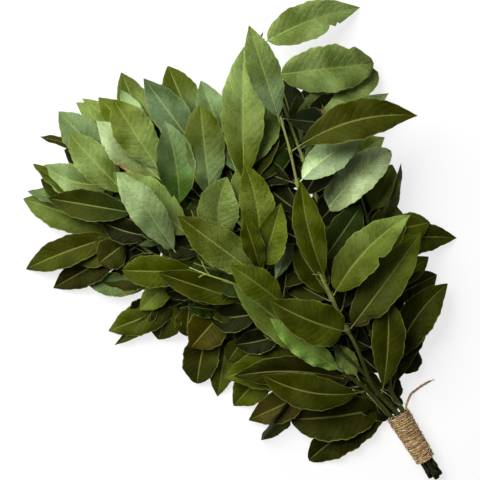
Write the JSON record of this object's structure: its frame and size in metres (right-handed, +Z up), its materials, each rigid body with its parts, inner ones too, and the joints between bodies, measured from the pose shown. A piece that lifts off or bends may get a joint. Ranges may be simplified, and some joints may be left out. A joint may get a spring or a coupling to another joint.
{
  "type": "bay leaf bunch",
  "caption": "Bunch of leafy bay laurel twigs lying on its side, fanned out flat, with the stems bound in jute twine as a short handle.",
  "frame": {"origin": "under the middle of the bunch, on the surface that it lies on, leaving out the loose twine end", "axes": "+X from the cut stem ends to the leaf tips, +Z up from the surface that the bunch lies on, +Y across"},
  "size_m": [0.4622, 0.3874, 0.0983],
  "materials": {
    "leaf_green": "satin",
    "leaf_pale": "satin",
    "leaf_dark": "satin",
    "green_bark": "matte",
    "jute_twine": "matte"
  },
  "bodies": {
    "root": {"twine_binding": "jute_twine", "twig_top": "green_bark", "leaf_top_1": "leaf_green", "leaf_top_2": "leaf_green", "leaf_top_3": "leaf_green", "leaf_top_4": "leaf_green", "leaf_top_5": "leaf_green", "leaf_top_6": "leaf_green", "leaf_top_7": "leaf_green", "leaf_top_8": "leaf_green", "twig_upper": "green_bark", "leaf_upper_1": "leaf_green", "leaf_upper_2": "leaf_green", "leaf_upper_3": "leaf_green", "twig_middle": "green_bark", "leaf_middle_1": "leaf_pale", "leaf_middle_2": "leaf_pale", "leaf_middle_3": "leaf_pale", "leaf_middle_4": "leaf_pale", "leaf_middle_5": "leaf_pale", "leaf_middle_6": "leaf_pale", "leaf_middle_7": "leaf_pale", "twig_inner": "green_bark", "leaf_inner_1": "leaf_green", "leaf_inner_2": "leaf_green", "leaf_inner_3": "leaf_green", "leaf_inner_4": "leaf_green", "leaf_inner_5": "leaf_green", "leaf_inner_6": "leaf_green", "leaf_inner_7": "leaf_green", "leaf_inner_8": "leaf_green", "leaf_inner_9": "leaf_green", "leaf_inner_10": "leaf_green", "leaf_inner_11": "leaf_green", "leaf_inner_12": "leaf_green", "twig_outer": "green_bark", "leaf_outer_1": "leaf_green", "leaf_outer_2": "leaf_green", "leaf_outer_3": "leaf_green", "leaf_outer_4": "leaf_green", "leaf_outer_5": "leaf_green", "leaf_outer_6": "leaf_green", "leaf_outer_7": "leaf_green", "leaf_outer_8": "leaf_green", "twig_low": "green_bark", "leaf_low_1": "leaf_dark", "leaf_low_2": "leaf_dark", "leaf_low_3": "leaf_dark", "leaf_low_4": "leaf_dark", "leaf_low_5": "leaf_dark", "leaf_low_6": "leaf_dark", "leaf_low_7": "leaf_dark", "leaf_low_8": "leaf_dark", "leaf_low_9": "leaf_dark", "leaf_low_10": "leaf_dark", "twig_right": "green_bark", "leaf_right_1": "leaf_dark", "leaf_right_2": "leaf_dark", "leaf_right_3": "leaf_dark", "twine_tail": "jute_twine"}
  },
  "joints": []
}
